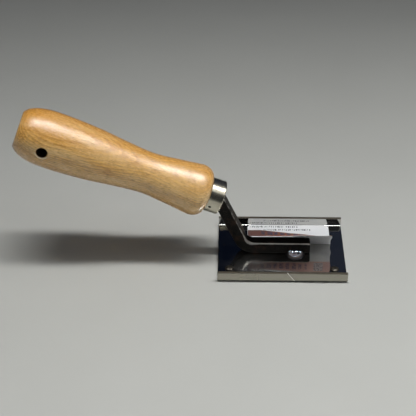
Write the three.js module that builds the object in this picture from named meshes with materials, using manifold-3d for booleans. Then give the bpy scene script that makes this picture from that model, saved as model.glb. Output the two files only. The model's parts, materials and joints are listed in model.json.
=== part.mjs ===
// Hand edging trowel. A sheet-steel sole has its two long sides turned up; a cranked square bar is
// welded to it, and the bar's tang is driven into a turned beech handle behind a short steel ferrule.
// Millimetres, +Z up. The origin is the middle of the sole's underside. +X runs along the sole, away
// from the handle, and the turned-up sides face -Y and +Y.
import * as THREE from "three";
import { mergeVertices } from "three/addons/utils/BufferGeometryUtils.js";
import Module from "manifold-3d";

const wasm = await Module();
wasm.setup();

// ---- Driving dimensions ----

// Gap left between neighbours that touch on the real tool.
const GAP = 0.25;

// Sole: one sheet with a low upright side along each long edge.
const SOLE_LENGTH = 80;
const SOLE_WIDTH = 60;
const SHEET = 1.8;
const SIDE_HEIGHT = 7.2;
const BEND_RADIUS = 2.4;

// Square bar: foot on the sole, cranked neck, tang inside the handle.
const BAR = 7.7;
const BAR_ARRIS = 1;
const BAR_Y = 1;
const FOOT_TIP_X = 18.2;
const CRANK_X = -23.5;
const CRANK_RADIUS = 9.2;
const NECK_ANGLE = THREE.MathUtils.degToRad(66);
const NECK_LENGTH = 39.8;
const TANG_BEND_RADIUS = 6;
const TANG_LENGTH = 36;
const TANG_TIP = 3.6;

// Handle: its own axis starts at the ferrule's mouth and climbs towards the butt.
const HANDLE_ANGLE = THREE.MathUtils.degToRad(21.9);
const MOUTH_TO_TANG_BEND = 1.5;
const FERRULE_RADIUS = 10.7;
const FERRULE_WALL = 0.95;
const FERRULE_LENGTH = 8.9;
const FERRULE_RIM = 0.35;
// Punch mark that stakes the ferrule to the wood, a little below its widest line.
const STAKE = { along: 6.3, drop: THREE.MathUtils.degToRad(12.5), radius: 0.6 };
const SPIGOT_START = 1.2;
const SHOULDER = { start: 9.2, radius: 11, length: 7.8 };
// [distance from the mouth, radius] of the turned grip, from the front bulge to the butt's corner.
const GRIP = [
  [17, 16],
  [32, 14.3],
  [48.5, 12.85],
  [66, 14.2],
  [86, 16.35],
  [110, 17.25],
  [121, 16.05],
  [127, 13.8],
  [130.3, 11.1],
];
const HANG_HOLE = { along: 113, radius: 3.25, chamfer: 1 };

// Weld that joins the foot's front edge to the sole.
const WELD = { x: 8.7, length: 13, reach: 6.3, height: 2.3, sunk: 1.5 };

// Two dome-headed rivets near the sole's front corners.
const RIVET = { x: 32.7, y: -18.6, headRadius: 2.8, headHeight: 1.3, shankRadius: 1.3 };

// Paper label: lies on the sole behind the foot, stands up along it and leans over it.
const LABEL = { start: -21.2, end: 31.8, rear: 27.9, fold: 7.3, thickness: 0.25 };
const LABEL_STANDING = 9;
const LABEL_LEAN = { y: -3.4, z: 16 };

// Facets round a full circle.
const TURNED_STEPS = 48;
const SMALL_STEPS = 28;

// ---- Shape helpers ----

// A closed geometry as a solid that can be joined and cut.
function solidOf(geometry) {
  const bare = geometry.clone();
  bare.deleteAttribute("normal");
  bare.deleteAttribute("uv");
  const merged = mergeVertices(bare, 1e-4);
  return new wasm.Manifold(
    new wasm.Mesh({
      numProp: 3,
      vertProperties: new Float32Array(merged.attributes.position.array),
      triVerts: new Uint32Array(merged.index.array),
    }),
  );
}

function geometryOf(solid) {
  const { vertProperties, triVerts, numProp, numVert } = solid.getMesh();
  const positions = new Float32Array(numVert * 3);
  for (let i = 0; i < numVert; i++) {
    positions.set(vertProperties.subarray(i * numProp, i * numProp + 3), i * 3);
  }
  const geometry = new THREE.BufferGeometry();
  geometry.setAttribute("position", new THREE.BufferAttribute(positions, 3));
  geometry.setIndex(new THREE.BufferAttribute(triVerts, 1));
  const faceted = geometry.toNonIndexed();
  faceted.computeVertexNormals();
  return faceted;
}

function boxBetween(low, high) {
  const size = new THREE.Vector3().subVectors(high, low);
  const centre = new THREE.Vector3().addVectors(low, high).multiplyScalar(0.5);
  return new THREE.BoxGeometry(size.x, size.y, size.z).translate(centre.x, centre.y, centre.z);
}

// Extrudes an outline drawn in (Y, Z) along X.
function alongX(shape, start, end) {
  const geometry = new THREE.ExtrudeGeometry(shape, {
    depth: end - start,
    bevelEnabled: false,
    curveSegments: 8,
  });
  const turn = new THREE.Matrix4().makeBasis(
    new THREE.Vector3(0, 1, 0),
    new THREE.Vector3(0, 0, 1),
    new THREE.Vector3(1, 0, 0),
  );
  return geometry.applyMatrix4(turn).translate(start, 0, 0);
}

// Straight runs through corner points, with an arc of the given radius at each inner corner.
function roundedPath(corners, radii, arcSteps) {
  const points = [corners[0].clone()];
  for (let i = 1; i < corners.length - 1; i++) {
    const before = new THREE.Vector2().subVectors(corners[i], corners[i - 1]).normalize();
    const after = new THREE.Vector2().subVectors(corners[i + 1], corners[i]).normalize();
    const turn = Math.atan2(before.cross(after), before.dot(after));
    const radius = radii[i - 1];
    const reach = radius * Math.tan(Math.abs(turn) / 2);
    const side = Math.sign(turn);
    const centre = corners[i]
      .clone()
      .addScaledVector(before, -reach)
      .add(new THREE.Vector2(-before.y, before.x).multiplyScalar(side * radius));
    const spoke = new THREE.Vector2(before.y, -before.x).multiplyScalar(side * radius);
    for (let k = 0; k <= arcSteps; k++) {
      points.push(
        spoke.clone().rotateAround(new THREE.Vector2(), (turn * k) / arcSteps).add(centre),
      );
    }
  }
  points.push(corners[corners.length - 1].clone());
  return points;
}

// Outline of a strip that runs along a path, with its own half-thickness at each point.
function stripOutline(path, halfAt) {
  const left = [];
  const right = [];
  path.forEach((point, i) => {
    const from = path[Math.max(i - 1, 0)];
    const to = path[Math.min(i + 1, path.length - 1)];
    const along = new THREE.Vector2().subVectors(to, from).normalize();
    const across = new THREE.Vector2(-along.y, along.x).multiplyScalar(halfAt(i));
    left.push(point.clone().add(across));
    right.unshift(point.clone().sub(across));
  });
  return [...left, ...right];
}

function named(name, geometry, color, roughness, metalness) {
  const material = new THREE.MeshStandardMaterial({ color, roughness, metalness });
  const mesh = new THREE.Mesh(geometry, material);
  mesh.name = name;
  return mesh;
}

// ---- Bar ----

const footHeight = SHEET + GAP + BAR / 2;
const neckWay = new THREE.Vector2(-Math.cos(NECK_ANGLE), Math.sin(NECK_ANGLE));
const handleWay = new THREE.Vector2(-Math.cos(HANDLE_ANGLE), Math.sin(HANDLE_ANGLE));
const crank = new THREE.Vector2(CRANK_X, footHeight);
const tangBend = crank.clone().addScaledVector(neckWay, NECK_LENGTH);
const mouth = tangBend.clone().addScaledVector(handleWay, -MOUTH_TO_TANG_BEND);

// The whole bar, or with a margin the room that it needs in the wood.
function barGeometry(margin) {
  const arcSteps = 8;
  const corners = [
    new THREE.Vector2(FOOT_TIP_X, footHeight),
    crank,
    tangBend,
    tangBend.clone().addScaledVector(handleWay, TANG_LENGTH + margin),
  ];
  const path = roundedPath(corners, [CRANK_RADIUS, TANG_BEND_RADIUS], arcSteps);
  const outline = stripOutline(path, (i) => {
    const half = i === path.length - 1 ? TANG_TIP / 2 : BAR / 2;
    return half + margin;
  });
  const shape = new THREE.Shape(outline);
  const width = BAR + 2 * margin;
  const geometry = new THREE.ExtrudeGeometry(shape, {
    depth: width - 2 * BAR_ARRIS,
    bevelThickness: BAR_ARRIS,
    bevelSize: BAR_ARRIS,
    bevelOffset: -BAR_ARRIS,
    bevelSegments: 2,
  });
  const upright = new THREE.Matrix4().makeBasis(
    new THREE.Vector3(1, 0, 0),
    new THREE.Vector3(0, 0, 1),
    new THREE.Vector3(0, -1, 0),
  );
  return geometry.applyMatrix4(upright).translate(0, BAR_Y + width / 2 - BAR_ARRIS, 0);
}

// ---- Sole and what is fixed to it ----

function soleGeometry() {
  const half = SOLE_WIDTH / 2;
  const inside = BEND_RADIUS - SHEET;
  const turn = Math.PI / 2;
  const shape = new THREE.Shape();
  shape.moveTo(-half, SIDE_HEIGHT);
  shape.lineTo(-half, BEND_RADIUS);
  shape.absarc(-half + BEND_RADIUS, BEND_RADIUS, BEND_RADIUS, 2 * turn, 3 * turn, false);
  shape.lineTo(half - BEND_RADIUS, 0);
  shape.absarc(half - BEND_RADIUS, BEND_RADIUS, BEND_RADIUS, 3 * turn, 4 * turn, false);
  shape.lineTo(half, SIDE_HEIGHT);
  shape.lineTo(half - SHEET, SIDE_HEIGHT);
  shape.lineTo(half - SHEET, BEND_RADIUS);
  shape.absarc(half - BEND_RADIUS, BEND_RADIUS, inside, 4 * turn, 3 * turn, true);
  shape.lineTo(-half + BEND_RADIUS, SHEET);
  shape.absarc(-half + BEND_RADIUS, BEND_RADIUS, inside, 3 * turn, 2 * turn, true);
  shape.lineTo(-half + SHEET, SIDE_HEIGHT);
  let sole = solidOf(alongX(shape, -SOLE_LENGTH / 2, SOLE_LENGTH / 2));
  for (const side of [-1, 1]) {
    const hole = new THREE.CylinderGeometry(
      RIVET.shankRadius + GAP,
      RIVET.shankRadius + GAP,
      3 * SHEET,
      SMALL_STEPS,
    );
    hole.rotateX(Math.PI / 2).translate(side * RIVET.x, RIVET.y, SHEET / 2);
    sole = sole.subtract(solidOf(hole));
  }
  return geometryOf(sole);
}

// Turned about its own axis, with the shank's end flush with the sole's underside.
function rivetGeometry() {
  const { headRadius, headHeight, shankRadius } = RIVET;
  const seat = SHEET + GAP;
  const profile = [
    new THREE.Vector2(0, 0),
    new THREE.Vector2(shankRadius, 0),
    new THREE.Vector2(shankRadius, seat),
    new THREE.Vector2(headRadius, seat),
  ];
  const domeSteps = 6;
  for (let k = 1; k <= domeSteps; k++) {
    const angle = ((Math.PI / 2) * k) / domeSteps;
    const radius = k === domeSteps ? 0 : headRadius * Math.cos(angle);
    profile.push(new THREE.Vector2(radius, seat + headHeight * Math.sin(angle)));
  }
  return new THREE.LatheGeometry(profile, SMALL_STEPS).rotateX(Math.PI / 2);
}

function weldGeometry() {
  const front = BAR_Y - BAR / 2 - GAP;
  const bead = new THREE.SphereGeometry(1, SMALL_STEPS, SMALL_STEPS / 2);
  bead.scale(WELD.length / 2, WELD.reach + WELD.sunk, WELD.height);
  bead.translate(WELD.x, front + WELD.sunk, SHEET + GAP);
  const room = boxBetween(
    new THREE.Vector3(WELD.x - WELD.length, front - 2 * WELD.reach, SHEET + GAP),
    new THREE.Vector3(WELD.x + WELD.length, front, SHEET + GAP + 2 * WELD.height),
  );
  return geometryOf(solidOf(bead).intersect(solidOf(room)));
}

function labelGeometry() {
  const half = LABEL.thickness / 2;
  const low = SHEET + GAP + half;
  const corners = [
    new THREE.Vector2(LABEL.rear, low),
    new THREE.Vector2(LABEL.fold, low),
    new THREE.Vector2(LABEL.fold, low + LABEL_STANDING),
    new THREE.Vector2(LABEL_LEAN.y, LABEL_LEAN.z),
  ];
  const path = roundedPath(corners, [0.8, 4], 5);
  return alongX(new THREE.Shape(stripOutline(path, () => half)), LABEL.start, LABEL.end);
}

// ---- Handle: turned about local +Y, which points at the butt, with local +Z along world +Y ----

const handle = new THREE.Group();
handle.position.set(mouth.x, BAR_Y, mouth.y);
handle.quaternion.setFromRotationMatrix(
  new THREE.Matrix4().makeBasis(
    new THREE.Vector3(-handleWay.y, 0, handleWay.x),
    new THREE.Vector3(handleWay.x, 0, handleWay.y),
    new THREE.Vector3(0, 1, 0),
  ),
);
handle.updateMatrixWorld(true);
const toHandle = handle.matrixWorld.clone().invert();

function ferruleGeometry() {
  const outer = FERRULE_RADIUS;
  const inner = outer - FERRULE_WALL;
  const profile = [
    new THREE.Vector2(inner, FERRULE_LENGTH),
    new THREE.Vector2(inner, FERRULE_RIM),
    new THREE.Vector2(inner + FERRULE_RIM, 0),
    new THREE.Vector2(outer - FERRULE_RIM, 0),
    new THREE.Vector2(outer, FERRULE_RIM),
    new THREE.Vector2(outer, FERRULE_LENGTH),
    new THREE.Vector2(inner, FERRULE_LENGTH),
  ];
  const stake = new THREE.SphereGeometry(STAKE.radius, 12, 8);
  stake.translate(outer * Math.sin(STAKE.drop), STAKE.along, -outer * Math.cos(STAKE.drop));
  const tube = solidOf(new THREE.LatheGeometry(profile, TURNED_STEPS));
  return geometryOf(tube.subtract(solidOf(stake)));
}

function gripProfile() {
  const spigotRadius = FERRULE_RADIUS - FERRULE_WALL - GAP;
  const profile = [
    new THREE.Vector2(0, SPIGOT_START),
    new THREE.Vector2(spigotRadius, SPIGOT_START),
    new THREE.Vector2(spigotRadius, SHOULDER.start),
  ];
  const swell = GRIP[0][1] - SHOULDER.radius;
  const shoulderSteps = 7;
  for (let k = 0; k < shoulderSteps; k++) {
    const angle = ((Math.PI / 2) * k) / shoulderSteps;
    profile.push(
      new THREE.Vector2(
        SHOULDER.radius + swell * Math.sin(angle),
        SHOULDER.start + SHOULDER.length * (1 - Math.cos(angle)),
      ),
    );
  }
  const spline = new THREE.SplineCurve(GRIP.map(([along, radius]) => new THREE.Vector2(radius, along)));
  profile.push(...spline.getPoints(40));
  profile.push(new THREE.Vector2(0, GRIP[GRIP.length - 1][0]));
  return profile;
}

function gripGeometry() {
  const wood = solidOf(new THREE.LatheGeometry(gripProfile(), TURNED_STEPS));
  const { along, radius, chamfer } = HANG_HOLE;
  const surface = 17.1;
  const outside = 24;
  const drillProfile = [
    new THREE.Vector2(0, -outside),
    new THREE.Vector2(radius + chamfer + outside - surface, -outside),
    new THREE.Vector2(radius, chamfer - surface),
    new THREE.Vector2(radius, surface - chamfer),
    new THREE.Vector2(radius + chamfer + outside - surface, outside),
    new THREE.Vector2(0, outside),
  ];
  const drill = new THREE.LatheGeometry(drillProfile, SMALL_STEPS);
  drill.rotateX(Math.PI / 2).translate(0, along, 0);
  const socket = barGeometry(GAP).applyMatrix4(toHandle);
  return geometryOf(wood.subtract(solidOf(drill)).subtract(solidOf(socket)));
}

// ---- Assembly ----

const trowel = new THREE.Group();
trowel.add(
  named("sole_tray", soleGeometry(), "#c9cac8", 0.08, 1),
  named("neck_bar", geometryOf(solidOf(barGeometry(0))), "#3a3633", 0.45, 0.9),
  named("foot_weld", weldGeometry(), "#b9bec4", 0.2, 1),
  named("label", labelGeometry(), "#eef0f1", 0.6, 0),
  handle,
);
for (const [name, side] of [
  ["rivet_left", -1],
  ["rivet_right", 1],
]) {
  const rivet = named(name, rivetGeometry(), "#b4b0a4", 0.25, 1);
  rivet.position.set(side * RIVET.x, RIVET.y, 0);
  trowel.add(rivet);
}
handle.add(
  named("ferrule", ferruleGeometry(), "#cfcabf", 0.15, 1),
  named("handle_grip", gripGeometry(), "#c98d3f", 0.35, 0),
);

export default trowel;
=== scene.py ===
import json
import math

import bmesh
import bpy
from bpy.props import FloatProperty, FloatVectorProperty, IntProperty, PointerProperty
from mathutils import Matrix, Vector, noise


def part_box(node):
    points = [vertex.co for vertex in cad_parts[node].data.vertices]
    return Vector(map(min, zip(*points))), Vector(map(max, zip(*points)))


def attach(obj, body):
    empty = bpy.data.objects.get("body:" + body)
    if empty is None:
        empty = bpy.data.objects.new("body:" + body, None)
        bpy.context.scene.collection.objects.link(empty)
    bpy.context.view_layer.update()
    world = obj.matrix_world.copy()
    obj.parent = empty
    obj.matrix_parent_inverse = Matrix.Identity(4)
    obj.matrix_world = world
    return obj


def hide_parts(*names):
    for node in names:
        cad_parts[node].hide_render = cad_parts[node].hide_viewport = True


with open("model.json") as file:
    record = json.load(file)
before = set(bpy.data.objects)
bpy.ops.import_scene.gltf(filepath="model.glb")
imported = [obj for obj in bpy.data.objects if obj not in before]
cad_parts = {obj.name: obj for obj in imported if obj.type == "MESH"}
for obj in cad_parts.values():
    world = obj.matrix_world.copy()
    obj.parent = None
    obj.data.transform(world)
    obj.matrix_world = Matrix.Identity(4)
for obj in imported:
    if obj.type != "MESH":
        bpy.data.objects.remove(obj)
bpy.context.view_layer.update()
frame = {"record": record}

bl_info = {
    "name": "Edging trowel",
    "version": (1, 0, 0),
    "blender": (4, 5, 0),
    "location": "View3D > Sidebar > Trowel",
    "description": "Builds a hand edging trowel: mirror sole, cranked bar, ferrule and turned handle",
    "category": "Object",
}

# ---- What the frame gives ----

SOLE_LOW, SOLE_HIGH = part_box("sole_tray")
BAR_LOW, BAR_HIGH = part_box("neck_bar")
FERRULE_LOW, FERRULE_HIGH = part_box("ferrule")
LABEL_LOW, LABEL_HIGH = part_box("label")
WELD_LOW, WELD_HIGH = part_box("foot_weld")
RIVET_LOW, RIVET_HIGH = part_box("rivet_left")
LAST_RIVET_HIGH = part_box("rivet_right")[1]
HANG_HOLE = next(
    opening for opening in frame["record"]["physics"]["openings"] if opening["name"] == "hang_hole"
)

SHEET = 0.0018
HANG_HOLE_RADIUS = 0.00325
FERRULE_LENGTH = 0.0089
FERRULE_CENTRE = (FERRULE_LOW + FERRULE_HIGH) / 2
HOLE_CENTRE = (Vector(HANG_HOLE["box_m"][0]) + Vector(HANG_HOLE["box_m"][1])) / 2
HOLE_CENTRE.y = FERRULE_CENTRE.y
TO_BUTT = (HOLE_CENTRE - FERRULE_CENTRE).normalized()
MOUTH = FERRULE_CENTRE - TO_BUTT * (FERRULE_LENGTH / 2)
HOLE_ALONG = (HOLE_CENTRE - MOUTH).length

# The handle's own frame: local Z climbs to the butt, local X points to the handle's upper side.
UPPER_SIDE = Vector((TO_BUTT.z, 0, -TO_BUTT.x))
HANDLE_FRAME = Matrix.Translation(MOUTH) @ Matrix(
    (
        (UPPER_SIDE.x, 0, TO_BUTT.x),
        (0, 1, 0),
        (UPPER_SIDE.z, 0, TO_BUTT.z),
    )
).to_4x4()

STEEL, BAR, WELD, RIVET = "polished_steel", "dark_bar", "weld_metal", "rivet_metal"
PAPER, FERRULE, WOOD = "label_paper", "ferrule_metal", "lacquered_wood"

TINY = 1e-6


def length(name, default, description):
    return FloatProperty(
        name=name, default=default, description=description, unit="LENGTH", precision=5, min=0
    )


def colour(name, default, description):
    return FloatVectorProperty(
        name=name, default=default, description=description, subtype="COLOR", size=3, min=0, max=1
    )


class TrowelSizes(bpy.types.PropertyGroup):
    """Sizes that the Blender pieces add to those of the frame."""

    sheet: length("Sheet", SHEET, "Thickness of the sole's sheet")
    bend: length("Bend", 0.0024, "Outer radius of the sole's two bends")
    side_edge: length("Side edge", 0.0002, "Rounding of the upright sides' top edges")
    end_edge: length("End edge", 0.0002, "Rounding of the sheet's cut ends")
    arris: length("Arris", 0.0011, "Rounding of the bar's four long edges")
    crank_radius: length("Crank radius", 0.0092, "Bend radius between foot and neck")
    tang_bend_radius: length("Tang bend radius", 0.006, "Bend radius between neck and tang")
    tang_bend: length("Tang bend", 0.0015, "How far inside the ferrule the tang bends")
    tang_length: length("Tang length", 0.036, "Length of the tang from its bend")
    tang_tip: length("Tang tip", 0.0036, "Thickness of the tang's tip")
    bar_end: length("Bar end", 0.0005, "Rounding of the bar's two ends")
    socket_play: length("Socket play", 0.00008, "Play of the tang in the wood")
    neck_angle: FloatProperty(
        name="Neck angle",
        default=math.radians(66),
        description="Slope of the neck",
        subtype="ANGLE",
    )
    rivet_shank: length("Rivet shank", 0.0013, "Radius of the rivets' shanks")
    rivet_play: length("Rivet play", 0.00002, "Play of the rivets in the sheet")
    bead_sunk: length("Bead sunk", 0.0015, "How far the weld's middle lies behind the foot's face")
    hang_hole: length("Hang hole", HANG_HOLE_RADIUS, "Radius of the hole near the butt")
    hole_chamfer: length("Hole chamfer", 0.0010, "Chamfer at both mouths of the hang hole")
    ferrule_wall: length("Ferrule wall", 0.00095, "Thickness of the ferrule's tube")
    stake: length("Stake", 0.00072, "Radius of the punched mark on the ferrule")
    label_paper: length("Label paper", 0.00014, "Thickness of the label")
    label_corner: length("Label corner", 0.0030, "Radius of the label's corners")
    label_fold: length("Label fold", 0.0073, "Where along Y the label turns up beside the foot")
    turned_steps: IntProperty(
        name="Turned steps", default=144, min=24, description="Facets round a turned piece"
    )


class TrowelColours(bpy.types.PropertyGroup):
    """Colours of the trowel's finishes."""

    steel: colour("Steel", (0.56, 0.555, 0.53), "Polished sheet")
    flank: colour("Flank", (0.37, 0.345, 0.28), "Satin front side of the sheet")
    cut: colour("Cut", (0.13, 0.115, 0.09), "Cut top edges of the sheet")
    scale: colour("Scale", (0.005, 0.0045, 0.004), "Dark forge scale on the bar")
    rust: colour("Rust", (0.032, 0.015, 0.008), "Reddish tint in the scale")
    bare: colour("Bare metal", (0.52, 0.50, 0.46), "Metal worn bare on the bar's arrises")
    bead: colour("Bead", (0.70, 0.85, 1.0), "Clean middle of the weld")
    rivet: colour("Rivet", (0.08, 0.072, 0.06), "Rivet heads")
    ferrule: colour("Ferrule", (0.60, 0.57, 0.47), "Ferrule's metal")
    wood_pale: colour("Pale wood", (1.0, 0.60, 0.17), "Early growth under the lacquer")
    wood_dark: colour("Dark wood", (0.52, 0.21, 0.03), "Late growth under the lacquer")
    wood_patch: colour("Wood patch", (1.0, 0.70, 0.33), "Lighter patches in the wood")
    # Partly deeper lacquer, partly painted shade: the colour where the wood is seen at a slant.
    wood_edge_shade: colour("Wood edge", (0.55, 0.21, 0.03), "Deeper lacquer seen at a slant")
    fleck: colour("Fleck", (0.34, 0.13, 0.02), "Short dark flecks along the grain")
    paper: colour("Paper", (0.90, 0.91, 0.92), "Label's white")
    # The band's print colour, darkened with painted shade.
    band: colour("Band", (0.27, 0.10, 0.055), "Label's warm band")
    ink: colour("Ink", (0.05, 0.06, 0.12), "Label's dark blocks")
    floor: colour("Floor", (0.50, 0.505, 0.475), "Pale floor")


# ---- Mesh helpers ----


def put(name, data):
    """A new object in the scene."""
    made = bpy.data.objects.new(name, data)
    bpy.context.scene.collection.objects.link(made)
    return made


def new_piece(name, vertices, faces, edges=()):
    mesh = bpy.data.meshes.new(name)
    mesh.from_pydata([tuple(v) for v in vertices], list(edges), faces)
    return put(name, mesh)


def face_outwards(mesh):
    shape = bmesh.new()
    shape.from_mesh(mesh)
    bmesh.ops.remove_doubles(shape, verts=shape.verts, dist=TINY)
    bmesh.ops.dissolve_degenerate(shape, edges=shape.edges, dist=TINY)
    bmesh.ops.recalc_face_normals(shape, faces=shape.faces)
    if shape.calc_volume(signed=True) < 0:
        bmesh.ops.reverse_faces(shape, faces=shape.faces)
    shape.to_mesh(mesh)
    shape.free()


def smooth_under(mesh, degrees):
    mesh.shade_smooth()
    mesh.set_sharp_from_angle(angle=math.radians(degrees))


def settle(piece):
    """Turns what the piece's modifiers make into its plain mesh."""
    bpy.context.view_layer.update()
    graph = bpy.context.evaluated_depsgraph_get()
    made = bpy.data.meshes.new_from_object(piece.evaluated_get(graph), depsgraph=graph)
    piece.modifiers.clear()
    piece.data = made
    return piece


def carve(piece, cutter):
    """Cuts one closed piece out of another and deletes the cutter."""
    cut = piece.modifiers.new("cut", "BOOLEAN")
    cut.operation = "DIFFERENCE"
    cut.solver = "EXACT"
    cut.object = cutter
    settle(piece)
    bpy.data.objects.remove(cutter)


def tube_faces(rows, around):
    """Quads between closed rows of points that follow each other in the list of vertices."""
    faces = []
    for low in range(0, (rows - 1) * around, around):
        for k in range(around):
            after = (k + 1) % around
            faces.append((low + k, low + after, low + around + after, low + around + k))
    return faces


def paint(piece, name, values):
    """Stores one value for each point of the mesh."""
    piece.data.attributes.new(name, "FLOAT", "POINT").data.foreach_set("value", values)


def rings_to_piece(name, rings):
    """Joins closed rings of equal length into a capped tube."""
    count = len(rings[0])
    vertices = [point for ring in rings for point in ring]
    faces = tube_faces(len(rings), count)
    faces.append(tuple(range(count)))
    faces.append(tuple(range((len(rings) - 1) * count, len(rings) * count)))
    return new_piece(name, vertices, faces)


def arc(centre, radius, start, end, steps):
    """Points of an arc in a plane, each with its direction from the centre."""
    points = []
    for k in range(steps + 1):
        angle = math.radians(start + (end - start) * k / steps)
        way = Vector((math.cos(angle), math.sin(angle)))
        points.append((Vector(centre) + way * radius, way))
    return points


def finish_piece(piece, slot, *nodes):
    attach(piece, "root")
    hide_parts(*nodes)


# ---- Node helpers ----


def add(tree, kind, inputs=None, **settings):
    """A node with its settings, and with each input linked or set."""
    node = tree.nodes.new(kind)
    for key, value in settings.items():
        setattr(node, key, value)
    for key, value in (inputs or {}).items():
        if isinstance(value, bpy.types.NodeSocket):
            tree.links.new(value, node.inputs[key])
        else:
            node.inputs[key].default_value = value
    return node


def maths(tree, operation, first, second=0.0, third=0.0, clamp=False):
    node = add(tree, "ShaderNodeMath", {0: first, 1: second, 2: third}, operation=operation)
    node.use_clamp = clamp
    return node.outputs[0]


def times(tree, first, second):
    return maths(tree, "MULTIPLY", first, second)


def scaled(tree, value, factor, offset):
    return maths(tree, "MULTIPLY_ADD", value, factor, offset)


def axes(tree, vector):
    """The X, Y and Z of a vector."""
    return add(tree, "ShaderNodeSeparateXYZ", {0: vector}).outputs


def how_far(tree, vector, point):
    """Distance of a vector from a fixed point."""
    node = add(tree, "ShaderNodeVectorMath", {0: vector, 1: point}, operation="DISTANCE")
    return node.outputs["Value"]


def painted(tree, name):
    """A value that the mesh carries at its points."""
    return add(tree, "ShaderNodeAttribute", attribute_name=name).outputs["Fac"]


def remap(tree, value, low, high, to_low=0.0, to_high=1.0):
    """Maps a value from one range to another, held at both ends."""
    node = add(
        tree,
        "ShaderNodeMapRange",
        {"Value": value, "From Min": low, "From Max": high, "To Min": to_low, "To Max": to_high},
        interpolation_type="SMOOTHSTEP",
    )
    return node.outputs["Result"]


def mix(tree, factor, first, second, blend="MIX"):
    node = add(tree, "ShaderNodeMix", data_type="RGBA", blend_type=blend)
    for index, value in ((0, factor), (6, first), (7, second)):
        if isinstance(value, bpy.types.NodeSocket):
            tree.links.new(value, node.inputs[index])
        elif index:
            node.inputs[index].default_value = (*value, 1)
        else:
            node.inputs[index].default_value = value
    return node.outputs[2]


def place(tree, location=(0, 0, 0), rotation=(0, 0, 0), scale=(1, 1, 1)):
    """Object coordinates, moved, turned and stretched."""
    coordinates = add(tree, "ShaderNodeTexCoord").outputs["Object"]
    node = add(
        tree,
        "ShaderNodeMapping",
        {"Vector": coordinates, "Location": location, "Rotation": rotation, "Scale": scale},
    )
    return node.outputs["Vector"]


def stretch(tree, vector, scale):
    return add(tree, "ShaderNodeMapping", {"Vector": vector, "Scale": scale}).outputs["Vector"]


def speckle(tree, vector, scale, detail=3.0, roughness=0.5, distortion=0.0):
    values = {"Vector": vector, "Scale": scale, "Detail": detail}
    values |= {"Roughness": roughness, "Distortion": distortion}
    return add(tree, "ShaderNodeTexNoise", values).outputs["Fac"]


def grain(tree, vector, scale, detail=3.0, roughness=0.5):
    """Noise with its own scale along each axis."""
    return speckle(tree, stretch(tree, vector, scale), 1.0, detail, roughness)


def bump(tree, height, depth, normal=None):
    inputs = {"Height": height, "Distance": depth, "Strength": 1.0}
    if normal is not None:
        inputs["Normal"] = normal
    return add(tree, "ShaderNodeBump", inputs).outputs["Normal"]


def finish_material(name, **shader_values):
    """A new material and its tree and main shader, with even values set on the shader itself."""
    material = bpy.data.materials.new(name)
    material.use_nodes = True
    tree = material.node_tree
    shader = tree.nodes["Principled BSDF"]
    for key, value in shader_values.items():
        socket = shader.inputs[key.replace("_", " ")]
        socket.default_value = (*value, 1) if isinstance(value, (tuple, list)) else value
    return material, tree, shader


def feed(tree, shader, **sources):
    for key, source in sources.items():
        tree.links.new(source, shader.inputs[key.replace("_", " ")])


def handle_coordinates(tree):
    """Object coordinates in the handle's own frame: Z runs to the butt."""
    turn = HANDLE_FRAME.to_euler()
    coordinates = add(tree, "ShaderNodeTexCoord").outputs["Object"]
    node = add(
        tree,
        "ShaderNodeMapping",
        {"Vector": coordinates, "Location": MOUTH, "Rotation": turn},
        vector_type="TEXTURE",
    )
    return node.outputs["Vector"]


# ---- Materials ----

# The sole's greasy patch, the slanting gouge in its front side and its dull cut edges.
SMUDGE = Vector((-0.019, -0.019, SHEET))
SMUDGE_REACH = 0.019
GOUGE_LEAN, GOUGE_FOOT, GOUGE_WIDTH = 0.74, 0.0084, 0.0003
EDGE_DEPTH = 0.0005


def polished_steel(colours):
    """Mirror sheet with a satin front side, hairline scratches, smears, a gouge and a greasy patch."""
    material, tree, shader = finish_material("mirror_sheet")
    across = place(tree, rotation=(0, 0, math.radians(52)), scale=(45, 3200, 3200))
    hairlines = remap(tree, speckle(tree, place(tree, scale=(60, 2600, 2600)), 1.0, 4.0, 0.7), 0.66, 0.8)
    cross_lines = remap(tree, speckle(tree, across, 1.0, 3.0, 0.7), 0.7, 0.82)
    scratch = maths(tree, "MAXIMUM", hairlines, cross_lines)
    smears = speckle(tree, place(tree, scale=(55, 90, 90)), 1.0, 5.0, 0.6, 1.2)
    where = axes(tree, place(tree))
    front = maths(tree, "LESS_THAN", where["Y"], SOLE_LOW.y + 0.0006)
    slant = scaled(tree, where["Z"], GOUGE_LEAN, where["X"])
    off_gouge = maths(tree, "ABSOLUTE", maths(tree, "SUBTRACT", slant, GOUGE_FOOT))
    gouge = times(tree, remap(tree, off_gouge, GOUGE_WIDTH, GOUGE_WIDTH / 3), front)
    scratch = maths(tree, "MAXIMUM", scratch, gouge)
    cut_edge = remap(tree, where["Z"], SOLE_HIGH.z - EDGE_DEPTH, SOLE_HIGH.z - EDGE_DEPTH * 0.4)
    dimmed = remap(tree, how_far(tree, place(tree), SMUDGE), SMUDGE_REACH, 0.003)
    dimmed = times(tree, dimmed, remap(tree, smears, 0.3, 0.6, 0.5, 1.0))

    rough = remap(tree, smears, 0.42, 0.75, 0.025, 0.115)
    for mask, dulling in ((scratch, 0.14), (dimmed, 0.17), (front, 0.16), (cut_edge, 0.5)):
        rough = scaled(tree, mask, dulling, rough)
    metal = remap(tree, smears, 0.35, 0.7, 1.0, 0.992)
    metal = scaled(tree, dimmed, -0.045, metal)
    tone = mix(tree, remap(tree, smears, 0.35, 0.8), colours.steel, (0.50, 0.50, 0.50))
    tone = mix(tree, times(tree, front, 0.8), tone, colours.flank)
    tone = mix(tree, cut_edge, tone, colours.cut)
    tone = mix(tree, gouge, tone, (0.95, 0.94, 0.90))
    normal = bump(tree, speckle(tree, place(tree), 38.0, 1.0), 0.00006)
    normal = bump(tree, scratch, 0.000003, normal)
    feed(tree, shader, Base_Color=tone, Roughness=rough, Metallic=metal, Normal=normal)
    return material


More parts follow.
